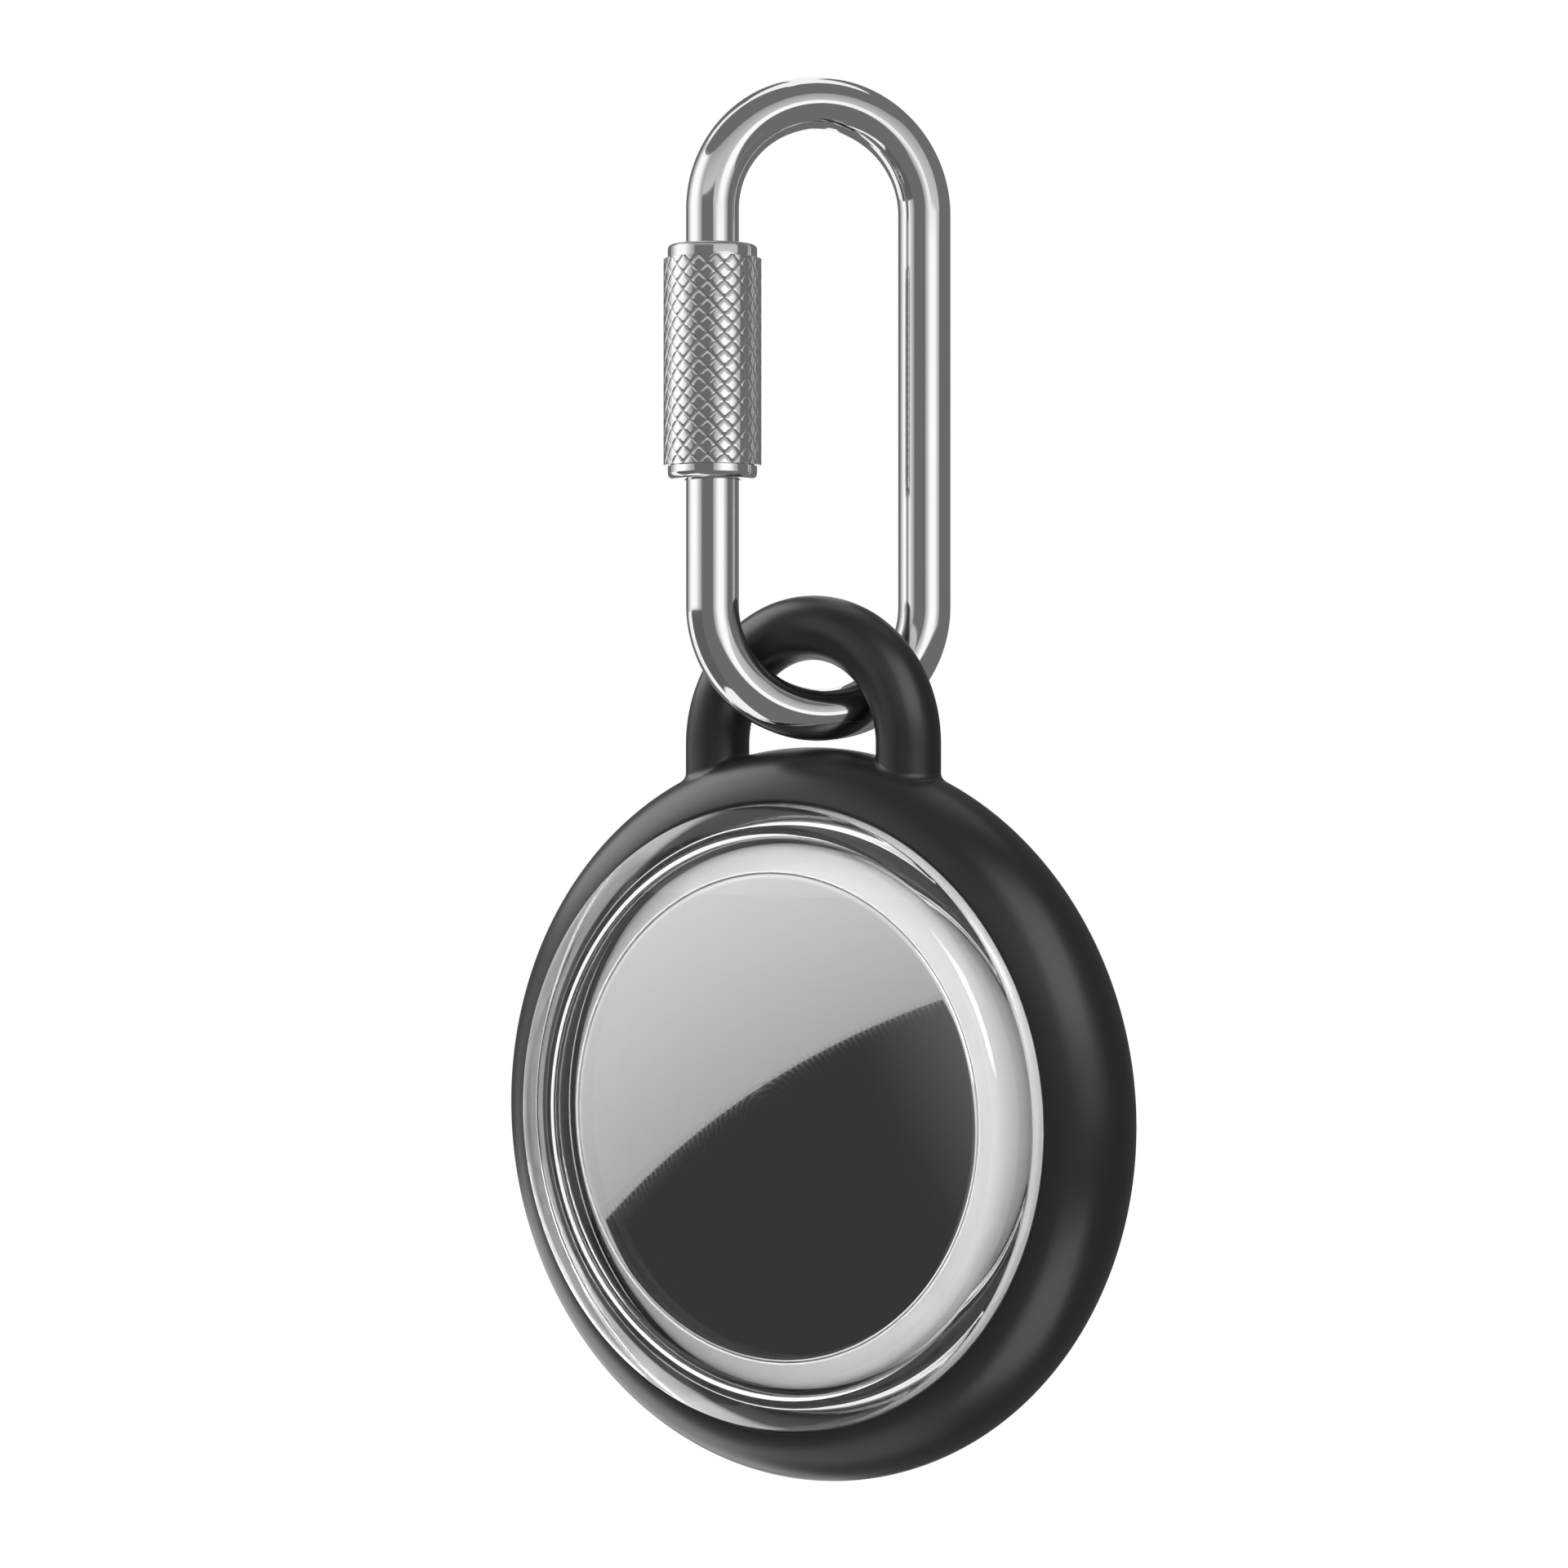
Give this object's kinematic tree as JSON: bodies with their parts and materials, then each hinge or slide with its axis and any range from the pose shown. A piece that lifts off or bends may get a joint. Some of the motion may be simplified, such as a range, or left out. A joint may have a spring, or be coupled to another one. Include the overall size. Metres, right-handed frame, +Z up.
{
  "type": "tracker tag holder",
  "caption": "Round tracker tag in a clear case and soft black ring, hanging by its loop from a polished oval link that a knurled screw sleeve opens.",
  "frame": {"origin": "inside of the link's top bend, where the hook or ring that holds it bears", "axes": "+Z up, the tag faces -Y, +X to the right of someone who faces the tag; the link is turned 48 degrees about +Z"},
  "size_m": [0.0406, 0.0131, 0.0777],
  "materials": {
    "polished_link": "polished",
    "knurled_link": "diamond knurl",
    "black_rubber": "soft matte",
    "clear_case": "clear gloss",
    "seal_rubber": "translucent",
    "white_plastic": "gloss",
    "adhesive": "matte",
    "polished_steel": "mirror polish",
    "inner_plastic": "matte",
    "cell_steel": "satin",
    "gasket_plastic": "matte",
    "contact_metal": "satin",
    "board": "satin",
    "chip": "matte",
    "magnet": "plated",
    "copper": "satin"
  },
  "bodies": {
    "link": {"link_bar": "polished_link"},
    "sleeve_carriage": {"sleeve_core": "polished_link"},
    "sleeve": {"sleeve_grip": "knurled_link"},
    "holder": {"frame": "black_rubber", "rear_shell": "clear_case", "seal_ring": "seal_rubber"},
    "window": {"front_shell": "clear_case"},
    "tag": {"tag_rim": "white_plastic", "tag_dome": "white_plastic", "dome_adhesive": "adhesive", "cell_can": "cell_steel", "cell_gasket": "gasket_plastic", "cell_cap": "cell_steel", "battery_tray": "inner_plastic", "positive_contacts": "contact_metal", "negative_contact": "contact_metal", "circuit_board": "board", "main_chip": "chip", "radio_shield": "cell_steel", "speaker_yoke": "cell_steel", "speaker_magnet": "magnet", "speaker_plate": "cell_steel", "speaker_coil": "copper", "antenna_carrier": "inner_plastic", "antenna_trace": "copper"},
    "cover": {"battery_cover": "polished_steel", "cover_lock_ring": "inner_plastic"}
  },
  "joints": [
    {"name": "holder_swing", "type": "hinge", "parent": "link", "child": "holder", "pos_m": [-0.0005, 0, -0.02758], "axis": [-0.7431, 0.6691, 0], "range_deg": [-26, 16]},
    {"name": "sleeve_travel", "type": "slide", "parent": "link", "child": "sleeve_carriage", "axis": [0, 0, -1], "range_m": [0, 0.00675]},
    {"name": "sleeve_turn", "type": "hinge", "parent": "sleeve_carriage", "child": "sleeve", "pos_m": [-0.00403, -0.00448, -0.01302], "axis": [0, 0, -1], "range_deg": [0, 3471.4]},
    {"name": "window_pull", "type": "slide", "parent": "holder", "child": "window", "axis": [0, -1, 0], "range_m": [0, 0.03]},
    {"name": "tag_draw", "type": "slide", "parent": "holder", "child": "tag", "axis": [0, -1, 0], "range_m": [0, 0.015]},
    {"name": "cover_twist", "type": "hinge", "parent": "tag", "child": "cover", "pos_m": [-0.0005, 0, -0.05451], "axis": [0, -1, 0], "range_deg": [0, 30]}
  ],
  "couplings": [
    {"joint": "sleeve_turn", "follows": "sleeve_travel", "rad_per_m": 8975.9},
    {"joint": "tag_draw", "follows": "window_pull", "ratio": 0.5}
  ]
}
